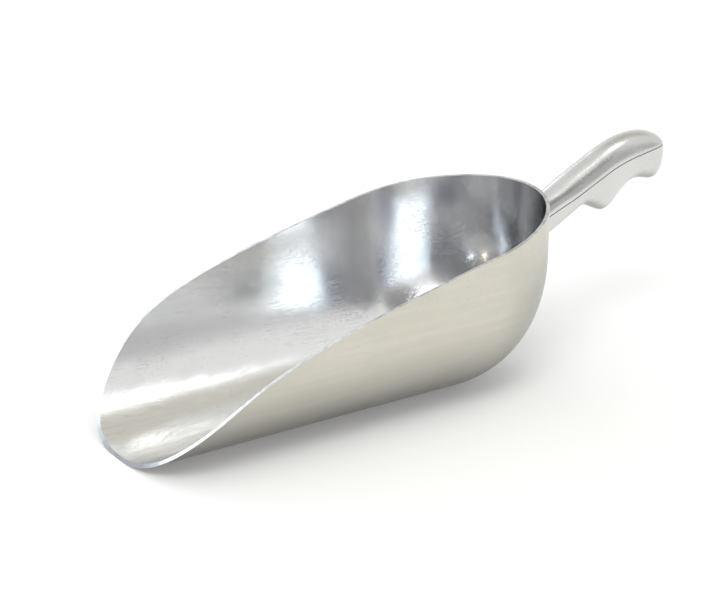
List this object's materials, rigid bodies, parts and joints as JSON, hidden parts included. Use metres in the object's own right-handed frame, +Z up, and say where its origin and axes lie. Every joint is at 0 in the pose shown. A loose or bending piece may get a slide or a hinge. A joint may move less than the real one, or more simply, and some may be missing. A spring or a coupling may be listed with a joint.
{
  "type": "ice scoop",
  "caption": "Round-bottomed aluminium ice scoop: a thin open trough bowl with a sloping rim and rounded back, and a hollow welded-on grip with finger grooves.",
  "frame": {"origin": "bottom centre of the bounding box, on the rest strip under the bowl", "axes": "+Z up, +Y along the scoop from the lip to the tail of the grip, +X across the bowl's width"},
  "size_m": [0.1348, 0.3711, 0.123],
  "materials": {
    "bowl_aluminium": "soft polished, with fine wear marks",
    "grip_aluminium": "satin polished casting",
    "seam_braze": "dull dark joint line",
    "weld_metal": "ground satin weld metal"
  },
  "bodies": {
    "root": {"bowl": "bowl_aluminium", "handle_upper_shell": "grip_aluminium", "handle_lower_shell": "grip_aluminium", "handle_seam_braze": "seam_braze", "handle_root_weld": "weld_metal"}
  },
  "joints": []
}
